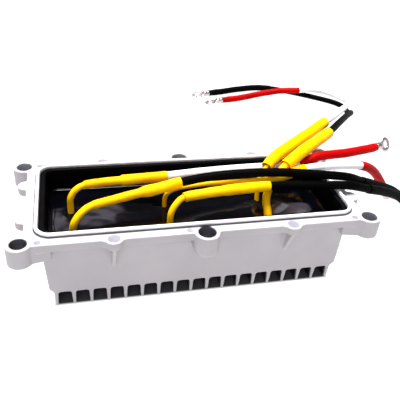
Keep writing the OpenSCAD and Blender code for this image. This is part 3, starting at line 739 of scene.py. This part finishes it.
# The bead's section as drawn: how far in from the outer edge and how high, out of BEAD_H, in mm
BEAD_H = 1.6
BEAD = [(0.06, 0), (0, 0.35), (0.02, 0.8), (0.16, 1.2), (0.45, 1.48), (0.8, BEAD_H), (1.2, BEAD_H),
        (1.55, 1.48), (1.84, 1.2), (1.98, 0.8), (2.0, 0.35), (1.94, 0)]
bead = []
for inward, up in BEAD:
    bead.append((SEAL_L - inward, SEAL_W - inward, SEAL_CORNER - inward,
                 SEAL_Z + up * (SEAL_TOP - SEAL_Z) / BEAD_H))
band("gasket", bead, "gasket_silicone", ["rim_gasket"], wave=0.12)

resin_low, resin_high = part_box("potting_resin")
RESIN_L, RESIN_W, RESIN_Z = resin_high / MM
RESIN_FLOOR = resin_low.z / MM
TRAY_L, TRAY_W, TRAY_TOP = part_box("insulating_tray")[1] / MM
COLLAR_H = 2.4
TRAY_CORNER, WALL_CORNER = 7, 5.1
TRAY_T = 0.8
# How far the liner's walls lean out along and across, for each mm that they rise
LEAN_L, LEAN_W = 0.062, 0.024
WALL_RISE = TRAY_TOP - RESIN_Z
wall_l, wall_w = RESIN_L + LEAN_L * WALL_RISE, RESIN_W + LEAN_W * WALL_RISE
tray = [(TRAY_L, TRAY_W, TRAY_CORNER, TRAY_TOP - COLLAR_H),
        (TRAY_L, TRAY_W, TRAY_CORNER, TRAY_TOP - 0.15),
        (TRAY_L - 0.15, TRAY_W - 0.15, TRAY_CORNER - 0.2, TRAY_TOP),
        (wall_l + TRAY_T, wall_w + TRAY_T, WALL_CORNER + TRAY_T, TRAY_TOP),
        (wall_l + 0.25, wall_w + 0.25, WALL_CORNER + 0.2, TRAY_TOP - 0.15),
        (wall_l, wall_w, WALL_CORNER, TRAY_TOP - 0.7),
        (RESIN_L - 0.05, RESIN_W - 0.05, WALL_CORNER, RESIN_Z - 2),
        (RESIN_L + TRAY_T, RESIN_W + TRAY_T, WALL_CORNER + TRAY_T, RESIN_Z - 2),
        (wall_l + 0.75, wall_w + 0.75, WALL_CORNER + TRAY_T, TRAY_TOP - COLLAR_H - 0.1)]
band("tray", tray, "tray_black", ["insulating_tray"], wave=0.1)

# How high the resin creeps up its wall and each lead, and how far from them that reaches, in mm
WALL_CREEP, WALL_REACH = 1.3, 0.9
LEAD_CREEP, LEAD_REACH = 0.9, 0.8
# How high its slow waves are, in mm, and how fine
WAVE_H, WAVE_GRAIN = 0.18, 55
# The steps between rings on its top: short ones within EDGE_BAND of the wall, and then long ones
SHORT_STEP, LONG_STEP, EDGE_BAND = 0.35, 0.8, 3


def resin_height(p, edge):
    """The poured surface's height over its level, in mm, at a point this far in from the wall."""
    rise = WALL_CREEP * math.exp(-edge / WALL_REACH)
    rise += WAVE_H * noise.noise(Vector((p.x, p.y, 0)) * WAVE_GRAIN)
    for lead, data in LEADS.items():
        x, y, _ = ROUTES[lead][0]
        gap = max(math.hypot(p.x / MM - x, p.y / MM - y) - data["tail"], 0)
        rise += LEAD_CREEP * math.exp(-gap / LEAD_REACH)
    return rise


def poured_surface():
    """Rings from the foot of the resin up its wall and then in over its top, nearly to the middle."""
    rings = [rounded_loop(RESIN_L - 1.5, RESIN_W - 1, WALL_CORNER, RESIN_FLOOR),
             rounded_loop(RESIN_L, RESIN_W, WALL_CORNER, RESIN_Z - 1)]
    inset = 0.0
    while inset < RESIN_W - 0.4:
        corner = max(WALL_CORNER - inset * 0.3, 0.5)
        ring = rounded_loop(RESIN_L - inset, RESIN_W - inset, corner, RESIN_Z)
        for p in ring:
            p.z += resin_height(p, inset) * MM
        rings.append(ring)
        inset += SHORT_STEP if inset < EDGE_BAND else LONG_STEP
    return rings


add_piece("resin", mesh_of_rings("resin", poured_surface()), "resin_black", ["potting_resin"])


# ---------------------------------------------------------------- stage and light
FLOOR_GLOW = 1.12
FLOOR_REACH = 6.0
LAMP_COLOR = (0.93, 0.88, 1.0)
SKY_BLUE = 1.03
# How far from the resin the lamps hang that it mirrors
PANEL_REACH = 1.0


def glowing_floor():
    """A dark table that glows pale wherever the housing leaves it open, a painted light that hides the
    shadows there, and stays dark under the housing.
    """
    mesh = bpy.data.meshes.new("floor")
    r = FLOOR_REACH
    mesh.from_pydata([(-r, -r, 0), (r, -r, 0), (r, r, 0), (-r, r, 0)], [], [(0, 1, 2, 3)])
    s = Shader("floor_paper")
    s.color(s.ramp(s.noise(3, 3), [(0.3, (0.07, 0.07, 0.07)), (0.7, (0.08, 0.08, 0.08))]))
    x, y, _ = s.parts_of(s.folded())
    open_x = s.fade(x, END_FIN - 1 * MM, END_FIN + 2 * MM)
    open_y = s.fade(y, FIN_FRONT - 2 * MM, FIN_FRONT + 0.5 * MM)
    # Painted light: the floor glows outside the housing's footprint, not under it.
    s.links.new(s.math("MULTIPLY", s.math("MAXIMUM", open_x, open_y), FLOOR_GLOW),
                s.surface.inputs["Emission Strength"])
    s.put(Roughness=0.8, Emission_Color=(1, 1, 1, 1))
    mesh.materials.append(s.material)
    floor = bpy.data.objects.new("floor", mesh)
    bpy.context.scene.collection.objects.link(floor)


def softbox(name, place, target, size, power):
    """A flat lamp of this size, in metres, turned to face the target."""
    data = bpy.data.lights.new(name, "AREA")
    data.shape = "RECTANGLE"
    data.size, data.size_y = size
    data.energy = power
    data.color = LAMP_COLOR
    lamp = bpy.data.objects.new(name, data)
    lamp.location = place
    lamp.rotation_euler = (Vector(target) - Vector(place)).to_track_quat("-Z", "Y").to_euler()
    bpy.context.scene.collection.objects.link(lamp)


def soft_sun(strength, spread, lean_back, lean_left):
    """One broad even light from above, leaning by these angles."""
    data = bpy.data.lights.new("soft_sun", "SUN")
    data.energy = strength
    data.angle = math.radians(spread)
    lamp = bpy.data.objects.new("soft_sun", data)
    lamp.rotation_euler = (-math.radians(lean_back), -math.radians(lean_left), 0)
    bpy.context.scene.collection.objects.link(lamp)


def mirrored_panel(name, spot, patch, radiance):
    """A small lamp that shows in the level resin as a pale patch of this size round the spot."""
    spot = Vector(spot) * MM
    sight = spot - CAMERA_PLACE
    bounce = Vector((sight.x, sight.y, -sight.z)).normalized()
    grow = (1 + PANEL_REACH / sight.length) * MM
    size = patch[0] * grow, patch[1] * grow * bounce.z
    power = radiance * math.pi * size[0] * size[1]
    softbox(name, spot + bounce * PANEL_REACH, spot, size, power)


def studio_world(stops, backdrop):
    """A sky that lights by its height over the horizon, behind a plain pale backdrop."""
    world = bpy.data.worlds.new("studio")
    bpy.context.scene.world = world
    world.use_nodes = True
    nodes, links = world.node_tree.nodes, world.node_tree.links
    sky = nodes["Background"]
    split = nodes.new("ShaderNodeSeparateXYZ")
    links.new(nodes.new("ShaderNodeTexCoord").outputs["Generated"], split.inputs["Vector"])
    ramp = nodes.new("ShaderNodeValToRGB")
    while len(ramp.color_ramp.elements) < len(stops):
        ramp.color_ramp.elements.new(0.5)
    for element, (height, glow) in zip(ramp.color_ramp.elements, stops):
        element.position = height
        element.color = (glow, glow, glow * SKY_BLUE, 1.0)
    links.new(split.outputs["Z"], ramp.inputs["Fac"])
    links.new(ramp.outputs["Color"], sky.inputs["Color"])
    pale = nodes.new("ShaderNodeBackground")
    pale.inputs["Color"].default_value = (backdrop, backdrop, backdrop, 1.0)
    choose = nodes.new("ShaderNodeMixShader")
    links.new(nodes.new("ShaderNodeLightPath").outputs["Is Camera Ray"], choose.inputs["Fac"])
    links.new(sky.outputs["Background"], choose.inputs[1])
    links.new(pale.outputs["Background"], choose.inputs[2])
    links.new(choose.outputs["Shader"], nodes["World Output"].inputs["Surface"])


glowing_floor()
studio_world([(0.0, 0.30), (0.35, 0.25), (0.5, 0.08), (0.65, 0.08), (0.85, 0.45), (1.0, 0.6)],
             backdrop=1.0)
soft_sun(strength=7.4, spread=34, lean_back=12, lean_left=6)
softbox("front_fill", (-0.25, -1.2, 0.95), (0, 0, 0.03), (1.4, 0.6), power=8)
mirrored_panel("end_patch", (-81, -0.5, 37), (11, 20), 2.6)
mirrored_panel("left_patch", (-56.5, 1.5, 37), (22, 13), 2.6)
mirrored_panel("right_patch", (64.5, -6.5, 37), (25, 10), 4.0)
bpy.context.scene.view_settings.view_transform = "Standard"
